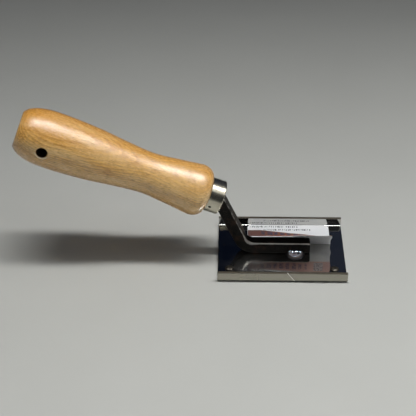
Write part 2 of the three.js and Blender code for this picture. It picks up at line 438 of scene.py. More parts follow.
def dark_bar(colours):
    """Blackened bar with reddish scale and bare metal along its arrises."""
    material, tree, shader = finish_material("forge_scale", Specular_IOR_Level=0.12)
    where = place(tree)
    blotch = speckle(tree, where, 260.0, 6.0, 0.65)
    grit = speckle(tree, where, 1500.0, 5.0, 0.7)
    tint = remap(tree, speckle(tree, where, 150.0, 4.0, 0.6), 0.5, 0.68)
    arris = painted(tree, "arris")
    chipped = scaled(tree, blotch, 1.1, times(tree, grit, 0.35))
    worn = remap(tree, maths(tree, "ADD", arris, chipped), 1.16, 1.62)
    flats = mix(tree, tint, colours.scale, colours.rust)
    flats = mix(tree, remap(tree, grit, 0.5, 0.66, 0.0, 0.6), flats, (0.055, 0.046, 0.034))
    tone = mix(tree, worn, flats, colours.bare)
    rough = scaled(tree, worn, -0.08, remap(tree, grit, 0.3, 0.7, 0.36, 0.62))
    metal = remap(tree, worn, 0.0, 1.0)
    normal = bump(tree, blotch, 0.00022)
    normal = bump(tree, grit, 0.00005, normal)
    feed(tree, shader, Base_Color=tone, Roughness=rough, Metallic=metal, Normal=normal)
    return material


def weld_metal(colours):
    """Bright bead with a dark sooty rim and a finely pitted skin."""
    material, tree, shader = finish_material("weld_bead", Metallic=1.0)
    rim = painted(tree, "rim")
    soot = speckle(tree, place(tree), 900.0, 4.0, 0.6)
    edge = scaled(tree, soot, 0.16, rim)
    ramp = add(tree, "ShaderNodeValToRGB", {"Fac": edge})
    stops = (
        (0.0, colours.bead),
        (0.70, (0.55, 0.66, 0.78)),
        (0.80, (0.06, 0.05, 0.045)),
        (0.90, (0.03, 0.026, 0.026)),
        (1.0, (0.02, 0.02, 0.022)),
    )
    elements = ramp.color_ramp.elements
    for index, (position, tone) in enumerate(stops):
        element = elements[index] if index < len(elements) else elements.new(position)
        element.position = position
        element.color = (*tone, 1)
    rough = remap(tree, edge, 0.6, 0.95, 0.07, 0.45)
    normal = bump(tree, soot, 0.00003)
    feed(tree, shader, Base_Color=ramp.outputs["Color"], Roughness=rough, Normal=normal)
    return material


def rivet_metal(colours):
    """Worn, slightly yellowed rivet heads, darkened in patches towards their foot."""
    material, tree, shader = finish_material("rivet_heads", Metallic=1.0)
    where = place(tree)
    patches = speckle(tree, where, 700.0, 4.0, 0.6)
    fine = speckle(tree, where, 3000.0, 3.0)
    # The heads are darkened in patches towards their foot.
    foot = remap(tree, axes(tree, where)["Z"], SHEET + 0.0007, SHEET)
    foot_darkening = times(tree, foot, remap(tree, patches, 0.2, 0.5))
    tone = mix(tree, remap(tree, patches, 0.4, 0.65), colours.rivet, (0.035, 0.03, 0.025))
    tone = mix(tree, foot_darkening, tone, (0.02, 0.018, 0.015))
    rough = remap(tree, patches, 0.3, 0.7, 0.4, 0.6)
    feed(tree, shader, Base_Color=tone, Roughness=rough, Normal=bump(tree, fine, 0.00002))
    return material


# The punched mark sits on the ferrule's near side, a little below its middle.
STAKE_ALONG, STAKE_DROP = 0.0063, math.radians(12.5)
STAKE_SIDE = Vector((-math.sin(STAKE_DROP), -math.cos(STAKE_DROP), 0))
STAKE = STAKE_SIDE * (FERRULE_HIGH.y - FERRULE_LOW.y) / 2 + Vector((0, 0, STAKE_ALONG))


def ferrule_metal(colours):
    """Polished tube with faint turning rings, specks of dirt and a punched mark darkened with painted
    shade.
    """
    material, tree, shader = finish_material("ferrule_steel")
    local = handle_coordinates(tree)
    rings = grain(tree, local, (30, 30, 6500), 3.0, 0.6)
    smears = speckle(tree, local, 160.0, 4.0, 0.6)
    dirt = speckle(tree, local, 420.0, 5.0, 0.65)
    tone = mix(tree, remap(tree, smears, 0.4, 0.7), colours.ferrule, (0.52, 0.48, 0.38))
    tone = mix(tree, remap(tree, dirt, 0.64, 0.74, 0.0, 0.45), tone, (0.25, 0.21, 0.15))
    # Painted shade: the punched mark is coloured near black, made rough and made non-metallic.
    punch_shade = remap(tree, how_far(tree, local, STAKE), 0.0010, 0.0008)
    tone = mix(tree, punch_shade, tone, (0.015, 0.014, 0.012))
    rough = scaled(tree, smears, 0.14, 0.17)
    rough = scaled(tree, punch_shade, 0.7, rough)
    metal = maths(tree, "SUBTRACT", 1.0, punch_shade)
    normal = bump(tree, rings, 0.0000035)
    feed(tree, shader, Base_Color=tone, Roughness=rough, Metallic=metal, Normal=normal)
    return material


GRAIN_TURN = math.radians(28)
PITH_DEPTH, PITH_LEAN = 0.058, 0.022
RINGS_PER_METRE = 900.0


def growth_rings(tree, turned):
    """Late growth, from 0 to 1, round a pith that lies below the handle and drifts away from it."""
    drift = grain(tree, turned, (70, 70, 16), 3.0, 0.55)
    where = axes(tree, turned)
    above_pith = scaled(tree, where["Z"], PITH_LEAN, PITH_DEPTH)
    above_pith = maths(tree, "ADD", where["X"], above_pith)
    squared = times(tree, where["Y"], where["Y"])
    squared = scaled(tree, above_pith, above_pith, squared)
    radius = scaled(tree, drift, 0.003, maths(tree, "SQRT", squared))
    phase = maths(tree, "FRACT", times(tree, radius, RINGS_PER_METRE))
    return times(tree, remap(tree, phase, 0.2, 0.9), remap(tree, phase, 1.0, 0.92))


def lacquered_wood(colours):
    """Turned beech: growth rings, streaks, lighter patches and dark flecks under clear lacquer."""
    material, tree, shader = finish_material(
        "lacquered_beech", Coat_Weight=1.0, Coat_IOR=1.75, Specular_IOR_Level=0.35
    )
    local = handle_coordinates(tree)
    turned = add(tree, "ShaderNodeMapping", {"Vector": local, "Rotation": (0, 0, GRAIN_TURN)})
    turned = turned.outputs["Vector"]
    streaks = grain(tree, turned, (1100, 1100, 60), 5.0, 0.7)
    broad = grain(tree, turned, (130, 130, 22), 3.0, 0.5)
    flecks = grain(tree, turned, (1500, 1500, 330), 4.0, 0.7)
    fleck = remap(tree, flecks, 0.5, 0.66, 0.0, 0.5)
    slant = add(tree, "ShaderNodeLayerWeight", {"Blend": 0.5}).outputs["Facing"]
    where = axes(tree, local)
    # Painted shade: a deeper orange along the handle's upper side, stronger towards the butt.
    upper_side_shade = remap(tree, where["Z"], 0.09, 0.125, 0.35, 0.65)
    upper_side_shade = times(tree, remap(tree, where["X"], 0.004, 0.015), upper_side_shade)

    pale, dark = colours.wood_pale, colours.wood_dark
    tone = mix(tree, times(tree, growth_rings(tree, turned), 0.62), pale, dark)
    tone = mix(tree, remap(tree, streaks, 0.43, 0.66, 0.0, 0.72), tone, dark)
    tone = mix(tree, remap(tree, broad, 0.36, 0.66, 0.0, 0.6), tone, colours.wood_patch)
    tone = mix(tree, fleck, tone, colours.fleck)
    # Partly deeper lacquer, partly painted shade towards the wood's outline, where it is seen at a
    # slant.
    tone = mix(tree, remap(tree, slant, 0.5, 0.98, 0.0, 0.6), tone, colours.wood_edge_shade)
    # Painted shade along the upper side, strongest near the butt.
    tone = mix(tree, upper_side_shade, tone, (0.72, 0.31, 0.04))

    # The hang hole's bore is darkened with painted shade, and the lower half of its chamfer is lightened
    # with a painted highlight.
    off_axis = add(tree, "ShaderNodeCombineXYZ", {0: where["X"], 1: 0.0, 2: where["Z"]}).outputs[0]
    reach = how_far(tree, off_axis, Vector((0, 0, HOLE_ALONG)))
    tone = mix(tree, remap(tree, reach, 0.0034, HANG_HOLE_RADIUS), tone, (0.035, 0.016, 0.006))
    # Painted highlight: the lower half of the hole's chamfer, which faces up, is painted pale.
    rim = times(tree, remap(tree, reach, 0.0044, 0.0040), remap(tree, reach, 0.0033, 0.0036))
    rim = times(tree, rim, remap(tree, where["X"], -0.0005, -0.0025))
    tone = mix(tree, rim, tone, (1.0, 0.84, 0.55))

    normal = bump(tree, fleck, -0.00006, bump(tree, streaks, 0.00008))
    rough = remap(tree, streaks, 0.3, 0.75, 0.34, 0.52)
    feed(tree, shader, Base_Color=tone, Roughness=rough, Normal=normal)
    ripples = grain(tree, turned, (1700, 1700, 520), 4.0, 0.75)
    glints = grain(tree, turned, (1900, 1900, 420), 3.0, 0.7)
    coat = bump(tree, streaks, 0.00005, bump(tree, ripples, 0.00013))
    gloss = remap(tree, glints, 0.42, 0.58, 0.06, 0.34)
    feed(tree, shader, Coat_Normal=coat, Coat_Roughness=gloss)
    return material


def window(tree, value, low, high):
    """1 between two values, 0 outside."""
    above = maths(tree, "GREATER_THAN", value, low)
    return times(tree, above, maths(tree, "LESS_THAN", value, high))


def marks(tree, across, down, columns, rows, span, seed):
    """A row of short dark bars of uneven length between two places across the label."""
    cell = times(tree, across, columns)
    step = maths(tree, "ADD", maths(tree, "FLOOR", cell), seed)
    chance = add(tree, "ShaderNodeTexWhiteNoise", {"W": step}, noise_dimensions="1D").outputs["Value"]
    width = scaled(tree, chance, 0.6, 0.25)
    bar = maths(tree, "LESS_THAN", maths(tree, "FRACT", cell), width)
    return times(tree, times(tree, bar, window(tree, down, *rows)), window(tree, across, *span))


def label_face(colours, printed):
    """Label paper: a warm band, blocks and rows of marks, fainter on the back."""
    name = "label_print" if printed else "label_back"
    material, tree, shader = finish_material(name, Specular_IOR_Level=0.4)
    sheet = add(tree, "ShaderNodeUVMap", uv_map="sheet").outputs["UV"]
    across, down = axes(tree, sheet)["X"], axes(tree, sheet)["Y"]
    fibres = grain(tree, sheet, (90, 70, 1), 4.0, 0.6)
    blots = grain(tree, sheet, (34, 46, 1), 2.0)
    cells = grain(tree, sheet, (60, 50, 1), 1.0)

    band = window(tree, down, 0.815, 0.985)
    # The band is darkened towards its left end.
    dimmed = times(tree, band, remap(tree, across, 0.5, 0.05, 0.0, 0.6))
    blocks = marks(tree, across, down, 13, (0.85, 0.95), (0.16, 0.74), 3.0)
    blocks = times(tree, blocks, remap(tree, blots, 0.38, 0.55, 0.1, 1.0))
    patch = times(tree, window(tree, across, 0.80, 0.91), window(tree, down, 0.835, 0.965))
    patch_ink = times(tree, patch, maths(tree, "GREATER_THAN", cells, 0.52))
    rows = marks(tree, across, down, 38, (0.030, 0.070), (0.03, 0.62), 11.0)
    more = marks(tree, across, down, 42, (0.108, 0.150), (0.2, 0.78), 29.0)
    rows = times(tree, maths(tree, "MAXIMUM", rows, more), remap(tree, blots, 0.36, 0.5))

    strength = 1.0 if printed else 0.6
    # On the printed side, the band's colour carries painted shade.
    layers = [
        (band, strength, colours.band if printed else (0.88, 0.38, 0.29)),
        (blocks, strength, colours.ink if printed else (0.10, 0.14, 0.36)),
        (dimmed, 1.0, (0.06, 0.055, 0.065)),
        (patch, strength, (0.78, 0.80, 0.84)),
        (patch_ink, strength * 0.8, colours.ink),
    ]
    if printed:
        layers.append((rows, 0.92, (0.03, 0.035, 0.05)))
    tone = mix(tree, remap(tree, fibres, 0.3, 0.7), colours.paper, (0.84, 0.85, 0.86))
    for mask, share, layer in layers:
        tone = mix(tree, times(tree, mask, share), tone, layer)
    rough = remap(tree, fibres, 0.3, 0.7, 0.34, 0.48)
    feed(tree, shader, Base_Color=tone, Roughness=rough, Normal=bump(tree, fibres, 0.00001))
    through = add(tree, "ShaderNodeBsdfTranslucent", {"Color": tone}).outputs["BSDF"]
    body = add(tree, "ShaderNodeMixShader", {0: 0.2, 1: shader.outputs["BSDF"], 2: through})
    tree.links.new(body.outputs["Shader"], tree.nodes["Material Output"].inputs["Surface"])
    return material


# ---- Pieces ----


def sole_outline(sizes):
    """The sheet's cross-section in (Y, Z), each point with its outward direction."""
    half = SOLE_HIGH.y
    centre_y = (SOLE_LOW.y + SOLE_HIGH.y) / 2
    top, sheet, bend, edge = SOLE_HIGH.z, sizes.sheet, sizes.bend, sizes.side_edge
    inner = bend - sheet
    right = half - bend
    outline = []
    outline += arc((centre_y + right, bend), bend, -90, 0, 14)
    outline += arc((half - edge, top - edge), edge, 0, 90, 6)
    outline += arc((half - sheet + edge, top - edge), edge, 90, 180, 6)
    outline += [(p, -way) for p, way in arc((centre_y + right, bend), inner, 0, -90, 10)]
    mirrored = [
        (Vector((2 * centre_y - p.x, p.y)), Vector((-way.x, way.y))) for p, way in reversed(outline)
    ]
    return outline + mirrored


def make_sole(sizes):
    """The bent sheet with rounded cut ends and two rivet holes."""
    edge = sizes.end_edge
    outline = sole_outline(sizes)
    stations = []
    steps = 5
    for k in range(steps + 1):
        angle = math.pi / 2 * k / steps
        stations.append((SOLE_LOW.x + edge * (1 - math.cos(angle)), edge * (1 - math.sin(angle))))
    middle = SOLE_LOW.x + SOLE_HIGH.x
    stations += [(middle - x, inset) for x, inset in reversed(stations)]
    rings = [
        [Vector((x, (p - way * inset).x, (p - way * inset).y)) for p, way in outline]
        for x, inset in stations
    ]
    sole = rings_to_piece("sole_sheet", rings)
    face_outwards(sole.data)
    radius = sizes.rivet_shank + sizes.rivet_play
    rivet_x, rivet_y = (RIVET_LOW.x + RIVET_HIGH.x) / 2, (RIVET_LOW.y + RIVET_HIGH.y) / 2
    for x in (rivet_x, -rivet_x):
        bpy.ops.mesh.primitive_cylinder_add(
            vertices=48, radius=radius, depth=sizes.sheet * 5, location=(x, rivet_y, 0)
        )
        carve(sole, bpy.context.object)
    smooth_under(sole.data, 35)
    return sole


def rounded_path(corners, radii, spacing):
    """Straight runs in (X, Z) with an arc at each inner corner, as evenly spaced points."""
    points = [corners[0]]
    for before, corner, after, radius in zip(corners, corners[1:], corners[2:], radii):
        into = (corner - before).normalized()
        out = (after - corner).normalized()
        turn = math.atan2(into.cross(out), into.dot(out))
        side = math.copysign(1, turn)
        centre = corner - into * radius * math.tan(abs(turn) / 2)
        centre += Vector((-into.y, into.x)) * side * radius
        spoke = Vector((into.y, -into.x)) * side * radius
        steps = 12
        for k in range(steps + 1):
            points.append(centre + Matrix.Rotation(turn * k / steps, 2) @ spoke)
    points.append(corners[-1])
    even = [points[0]]
    for start, end in zip(points, points[1:]):
        parts = max(1, round((end - start).length / spacing))
        even += [start.lerp(end, k / parts) for k in range(1, parts + 1)]
    return even


ARRIS_WEAR = (0.6, 0.2, 0.25, 1.0)


def square_ring(half, rounding):
    """A square with rounded corners: (across, side, closeness to an arris) of each point."""
    ring = []
    steps = 6
    core = half - rounding
    for quarter, wear in enumerate(ARRIS_WEAR):
        corner = []
        for k in range(steps + 1):
            angle = math.pi / 2 * k / steps
            x, y = core + rounding * math.cos(angle), core + rounding * math.sin(angle)
            corner.append((Vector((x, y)), wear * math.sin(2 * angle)))
        for k in range(1, steps):
            share = k / steps
            corner.append((Vector((core - 2 * core * share, half)), -0.6 * math.sin(math.pi * share)))
        turn = Matrix.Rotation(math.pi / 2 * quarter, 2)
        ring += [(*(turn @ point), closeness) for point, closeness in corner]
    return ring


def bar_path(sizes):
    """The bar's middle line in (X, Z): foot, neck and tang."""
    half = (BAR_HIGH.y - BAR_LOW.y) / 2
    foot_height = SOLE_LOW.z + sizes.sheet + half
    into_wood = Vector((TO_BUTT.x, TO_BUTT.z))
    up_neck = Vector((-math.cos(sizes.neck_angle), math.sin(sizes.neck_angle)))
    tang_bend = Vector((MOUTH.x, MOUTH.z)) + into_wood * sizes.tang_bend
    rise = (tang_bend.y - foot_height) / up_neck.y
    crank = tang_bend - up_neck * rise
    corners = [
        Vector((BAR_HIGH.x, foot_height)),
        crank,
        tang_bend,
        tang_bend + into_wood * sizes.tang_length,
    ]
    return rounded_path(corners, (sizes.crank_radius, sizes.tang_bend_radius), spacing=0.0009)


BEND_WEAR = Vector((-0.0205, BAR_LOW.y, 0.0103))
BEND_WEAR_REACH = 0.0042
NECK_FROM = 0.010


def forge(point, outward, near):
    """Moves a point of the bar by the hammer's dents and the nicks in its arrises."""
    dent = noise.noise(point * 220) * 0.00009 + noise.noise(point * 900) * 0.00003
    nick = max(0.0, noise.noise(point * 420 + Vector((7, 3, 1)))) * 0.00022
    return point + outward * (dent - max(0.0, near) * nick - 0.00008)


def arris_wear(point, near):
    """How worn the bar is at a point: most on the foot's arrises and where it bends up."""
    up_neck = min(1.0, max(0.0, (point.z - NECK_FROM) / NECK_FROM))
    from_bend = (point - BEND_WEAR).length / BEND_WEAR_REACH
    return near * (1 - 0.35 * up_neck) + 0.8 * math.exp(-from_bend * from_bend)


def make_bar(sizes, margin=0.0, forged=True):
    """The bar, or with a margin the room that its tang needs in the wood."""
    path = bar_path(sizes)
    half = (BAR_HIGH.y - BAR_LOW.y) / 2
    middle_y = (BAR_HIGH.y + BAR_LOW.y) / 2
    distances = [0.0]
    for start, end in zip(path, path[1:]):
        distances.append(distances[-1] + (end - start).length)
    tang_from = distances[-1] - sizes.tang_length
    rings, wear = [], []
    for index, point in enumerate(path):
        before, after = path[max(index - 1, 0)], path[min(index + 1, len(path) - 1)]
        along = (after - before).normalized()
        across = Vector((-along.y, 0, along.x))
        taper = max(0.0, distances[index] - tang_from) / sizes.tang_length
        thick = half + (sizes.tang_tip / 2 - half) * taper + margin
        to_end = min(distances[index], distances[-1] - distances[index], sizes.bar_end)
        inset = sizes.bar_end - math.sqrt(to_end * (2 * sizes.bar_end - to_end))
        ring = []
        for a, s, near in square_ring(half, sizes.arris):
            place_at = Vector((point.x, middle_y, point.y)) - across * (a * (thick - inset) / half)
            place_at.y += s * (half + margin - inset) / half
            if forged:
                outward = (Vector((0, s, 0)) - across * a).normalized()
                place_at = forge(place_at, outward, near)
            ring.append(place_at)
            wear.append(arris_wear(place_at, near))
        rings.append(ring)
    bar = rings_to_piece("cranked_bar", rings)
    paint(bar, "arris", wear)
    face_outwards(bar.data)
    smooth_under(bar.data, 50)
    return bar


CRATER = Vector((0.0021, -0.0021))
CRATER_RADIUS, CRATER_DEPTH = 0.0008, 0.0004


def make_weld(sizes):
    """A low puddle against the foot's front face, with ripples and a small crater."""
    centre = Vector(((WELD_LOW.x + WELD_HIGH.x) / 2, BAR_LOW.y + sizes.bead_sunk))
    reach = Vector(((WELD_HIGH.x - WELD_LOW.x) / 2, centre.y - WELD_LOW.y))
    seat = SOLE_LOW.z + sizes.sheet
    height = (WELD_HIGH.z - seat) * 0.82
    rings, around = 26, 72
    vertices, rim = [], []
    for row in range(rings + 1):
        share = row / rings
        for k in range(around):
            angle = math.tau * k / around
            way = Vector((math.cos(angle), math.sin(angle)))
            wobble = 1 + 0.05 * noise.noise(Vector((*way, 5)) * 1.6)
            offset = way * reach * share * wobble
            down_slope = max(0.0, BAR_LOW.y - centre.y - offset.y) / (BAR_LOW.y - WELD_LOW.y)
            level = height * (1 - share**4) ** 0.7 * (1 - 0.93 * down_slope**0.8)
            level += 0.00005 * math.sin(share * 34 + 2 * way.x) * (1 - share)
            hollow = ((offset - CRATER).length / CRATER_RADIUS) ** 2
            level -= CRATER_DEPTH * math.exp(-hollow)
            y = min(centre.y + offset.y, BAR_LOW.y + 0.00005)
            vertices.append((centre.x + offset.x, y, seat + max(level, 0.0)))
            rim.append(max(share, 1.1 * math.exp(-hollow * 1.4)))
    for x, y, _ in vertices[-around:]:
        vertices.append((x, y, seat - 0.00003))
        rim.append(1.0)
    faces = tube_faces(rings + 2, around)
    faces.append(tuple(range(len(vertices) - around, len(vertices))))
    weld = new_piece("foot_bead", vertices, faces)
    paint(weld, "rim", rim)
    face_outwards(weld.data)
    smooth_under(weld.data, 40)
    return weld


def turned_tree(name, repeated=False):
    """A node tree that spins the object's own outline of (radius, height) points about Z.

    With repeated set it also places copies along a line.
    """
    tree = bpy.data.node_groups.new(name, "GeometryNodeTree")
    inputs = {"Outline": "Geometry", "Steps": "Int", "Material": "Material"}
    if repeated:
        inputs |= {"Count": "Int", "First": "Vector", "Spacing": "Vector"}
    for label, kind in inputs.items():
        tree.interface.new_socket(label, in_out="INPUT", socket_type="NodeSocket" + kind)
    tree.interface.new_socket("Body", in_out="OUTPUT", socket_type="NodeSocketGeometry")
    given = tree.nodes.new("NodeGroupInput").outputs
    size = add(tree, "GeometryNodeAttributeDomainSize", {"Geometry": given["Outline"]})
    points = size.outputs["Point Count"]
    last = maths(tree, "SUBTRACT", points, 1.0)
    grid = add(
        tree,
        "GeometryNodeMeshGrid",
        {
            "Size X": last,
            "Size Y": 1.0,
            "Vertices X": points,
            "Vertices Y": maths(tree, "ADD", given["Steps"], 1.0),
        },
    ).outputs["Mesh"]
    position = tree.nodes.new("GeometryNodeInputPosition").outputs[0]
    cell = axes(tree, position)
    index = maths(tree, "ROUND", scaled(tree, last, 0.5, cell["X"]))
    outline_point = add(
        tree,
        "GeometryNodeSampleIndex",
        {"Geometry": given["Outline"], "Value": position, "Index": index},
        data_type="FLOAT_VECTOR",
        domain="POINT",
    ).outputs["Value"]
    parts = axes(tree, outline_point)
    angle = times(tree, maths(tree, "ADD", cell["Y"], 0.5), math.tau)
    spun = add(
        tree,
        "ShaderNodeCombineXYZ",
        {
            "X": times(tree, parts["X"], maths(tree, "COSINE", angle)),
            "Y": times(tree, parts["X"], maths(tree, "SINE", angle)),
            "Z": parts["Z"],
        },
    ).outputs[0]
    body = add(tree, "GeometryNodeSetPosition", {"Geometry": grid, "Position": spun}).outputs[0]
    body = add(tree, "GeometryNodeMergeByDistance", {"Geometry": body, "Distance": TINY}).outputs[0]
    if repeated:
        line = add(
            tree,
            "GeometryNodeMeshLine",
            {"Count": given["Count"], "Start Location": given["First"], "Offset": given["Spacing"]},
            mode="OFFSET",
        ).outputs[0]
        body = add(tree, "GeometryNodeInstanceOnPoints", {"Points": line, "Instance": body}).outputs[0]
    body = add(tree, "GeometryNodeRealizeInstances", {"Geometry": body}).outputs[0]
    body = add(tree, "GeometryNodeSetMaterial", {"Geometry": body, "Material": given["Material"]})
    add(tree, "NodeGroupOutput", {"Body": body.outputs[0]})
    return tree


def spin(name, outline, tree, values):
    """Runs a turned tree on an outline of (radius, height) points and keeps the plain mesh."""
    vertices = [(radius, 0, height) for radius, height in outline]
    edges = [(k, k + 1) for k in range(len(outline) - 1)]
    piece = new_piece(name, vertices, [], edges)
    modifier = piece.modifiers.new("turned", "NODES")
    modifier.node_group = tree
    sockets = {s.name: s.identifier for s in tree.interface.items_tree if s.in_out == "INPUT"}
    for key, value in values.items():
        modifier[sockets[key]] = value
    settle(piece)
    face_outwards(piece.data)
    return piece


def smooth_curve(points, steps):
    """Catmull-Rom curve through points, given and returned as tuples."""
    ends = [2 * Vector(points[0]) - Vector(points[1])] + [Vector(p) for p in points]
    ends.append(2 * Vector(points[-1]) - Vector(points[-2]))
    curve = []
    for a, b, c, d in zip(ends, ends[1:], ends[2:], ends[3:]):
        for k in range(steps):
            t = k / steps
            square, cube = 2 * a - 5 * b + 4 * c - d, 3 * b - a - 3 * c + d
            curve.append(0.5 * (2 * b + (c - a) * t + square * t**2 + cube * t**3))
    curve.append(Vector(points[-1]))
    return curve


def make_rivets(sizes, material):
    """Both rivets as one piece: shanks through the sheet and low domed heads."""
    shank, head = sizes.rivet_shank, (RIVET_HIGH.x - RIVET_LOW.x) / 2
    seat, lift = SOLE_LOW.z + sizes.sheet, 0.00008
    rise = RIVET_HIGH.z - seat - 0.0003
    outline = [(0, SOLE_LOW.z), (shank, SOLE_LOW.z), (shank, seat), (head - 0.0001, seat)]
    steps = 14
    for k in range(steps):
        angle = math.pi / 2 * k / steps
        outline.append((head * math.cos(angle) ** 0.9, seat + lift + rise * math.sin(angle)))
    outline.append((0, seat + lift + rise))
    first = ((RIVET_LOW.x + RIVET_HIGH.x) / 2, (RIVET_LOW.y + RIVET_HIGH.y) / 2, 0)
    apart = (LAST_RIVET_HIGH.x - RIVET_HIGH.x, 0, 0)
    values = {"Steps": 48, "Material": material, "Count": 2, "First": first, "Spacing": apart}
    rivets = spin("rivet_pair", outline, turned_tree("rivet_row", True), values)
    smooth_under(rivets.data, 50)
    return rivets


def make_ferrule(sizes, material):
    """The tube over the spigot, with a rounded lip at its mouth and a punched mark."""
    outer = (FERRULE_HIGH.y - FERRULE_LOW.y) / 2
    inner = outer - sizes.ferrule_wall
    lip, chamfer = sizes.ferrule_wall / 2, 0.0003
    outline = [(inner, FERRULE_LENGTH), (inner, FERRULE_LENGTH / 2)]
    outline += [(p.x, p.y) for p, _ in arc((inner + lip, lip), lip * 1.05, 180, 360, 12)]
    outline += [(outer, lip * 1.6), (outer + 0.00001, FERRULE_LENGTH / 2)]
    outline += [(outer, FERRULE_LENGTH - chamfer), (outer - chamfer, FERRULE_LENGTH)]
    outline += [(inner, FERRULE_LENGTH)]
    values = {"Steps": sizes.turned_steps, "Material": material}
    ferrule = spin("ferrule_tube", outline, turned_tree("ferrule_turning"), values)
    spot = STAKE * (1 + 0.0002 / STAKE.length)
    spot.z = STAKE_ALONG
    bpy.ops.mesh.primitive_uv_sphere_add(
        segments=24, ring_count=16, radius=sizes.stake, location=spot
    )
    punch = bpy.context.object
    punch.data.materials.append(material)
    carve(ferrule, punch)
    ferrule.data.transform(HANDLE_FRAME)
    smooth_under(ferrule.data, 40)
    return ferrule


SHOULDER_RADIUS, SHOULDER_RISE, SHOULDER_LENGTH = 0.0112, 0.0049, 0.0078
BUTT = 0.1303
# Radius of the grip and distance from the ferrule's mouth, from the shoulder to the butt.
GRIP = (
    (0.0161, 0.0172),
    (0.0143, 0.032),
    (0.01285, 0.0485),
    (0.0142, 0.066),
    (0.01635, 0.086),
    (0.01725, 0.110),
    (0.01605, 0.121),
    (0.0138, 0.127),
    (0.0113, 0.1299),
)


def grip_outline(sizes):
    """(radius, distance from the ferrule's mouth) of the turned wood, spigot first."""
    start, chamfer = 0.0011, 0.0003
    spigot = (FERRULE_HIGH.y - FERRULE_LOW.y) / 2 - sizes.ferrule_wall
    shoulder = FERRULE_LENGTH + 0.0002
    outline = [(0, start), (spigot - chamfer, start)]
    outline += [(spigot - 0.00005, start + chamfer), (spigot - 0.00005, shoulder)]
    steps = 13
    for k in range(steps):
        angle = math.pi / 2 * k / steps
        radius = SHOULDER_RADIUS + SHOULDER_RISE * math.sin(angle)
        outline.append((radius, shoulder + SHOULDER_LENGTH * (1 - math.cos(angle))))
    outline += [tuple(p) for p in smooth_curve(GRIP, 11)]
    outline += [(0.0108, BUTT - 0.00012), (0.0102, BUTT), (0.0051, BUTT), (0, BUTT)]
    return outline


def make_grip(sizes, material):
    """The turned wood with its hang hole and the socket for the tang."""
    turning = turned_tree("grip_turning")
    values = {"Steps": sizes.turned_steps, "Material": material}
    grip = spin("turned_grip", grip_outline(sizes), turning, values)
    hole, chamfer = sizes.hang_hole, sizes.hole_chamfer
    surface, reach = 0.01722, 0.022  # from the axis to the wood's skin, and to the drill's ends
    half = [
        (hole + chamfer + reach - surface, reach),
        (hole + chamfer * 0.35, surface - chamfer * 0.3),
        (hole, surface - chamfer),
    ]
    drill = [(0, -reach)] + [(radius, -height) for radius, height in half]
    drill += [*reversed(half), (0, reach)]
    cutter = spin("drill", drill, turning, {"Steps": 64, "Material": material})
    cutter.data.transform(Matrix.Translation((0, 0, HOLE_ALONG)) @ Matrix.Rotation(math.pi / 2, 4, "X"))
    carve(grip, cutter)
    grip.data.transform(HANDLE_FRAME)
    carve(grip, make_bar(sizes, sizes.socket_play, False))
    grip.data.materials.clear()
    grip.data.materials.append(material)
    smooth_under(grip.data, 32)
    return grip


# How far the standing part of the label leans forward and up from its fold, at its two ends.
LABEL_LEFT = (
    (0, 0.0006),
    (0.0002, 0.0050),
    (0.0004, 0.0094),
    (0.0022, 0.0124),
    (0.0056, 0.0133),
    (0.0105, 0.01315),
)
LABEL_RIGHT = (
    (0, 0.0006),
    (0.0001, 0.0040),
    (0.0007, 0.0071),
    (0.0032, 0.0092),
    (0.0068, 0.0117),
    (0.0110, 0.0147),
)
# The free end bulges out from this share of the label's length, around this height.
FLARE_FROM, FLARE_HEIGHT, FLARE_REACH, FLARE_SIZE = 0.93, 0.0062, 0.0028, 0.0008
RIPPLE = 0.00012


def label_section(sizes, share):
    """The label's side view in (Y, Z) at a share of its length, from its rear edge to its free edge."""
    seat = SOLE_LOW.z + sizes.sheet + sizes.label_paper / 2 + 0.00002
    fold = sizes.label_fold
    ease = share * share * (3 - 2 * share)
    blend = min(1.0, max(0.0, (ease - 0.05) * 1.15))
    raised = [Vector(a).lerp(Vector(b), blend) for a, b in zip(LABEL_LEFT, LABEL_RIGHT)]
    lying = 9
    points = [(fold + (LABEL_HIGH.y - fold) * (1 - k / lying), seat) for k in range(lying)]
    points += [(fold + 0.0008, seat + 0.00001), (fold + 0.0003, seat + 0.00016)]
    points += [(fold - forward, seat + up) for forward, up in raised]
    return smooth_curve(points, 5)


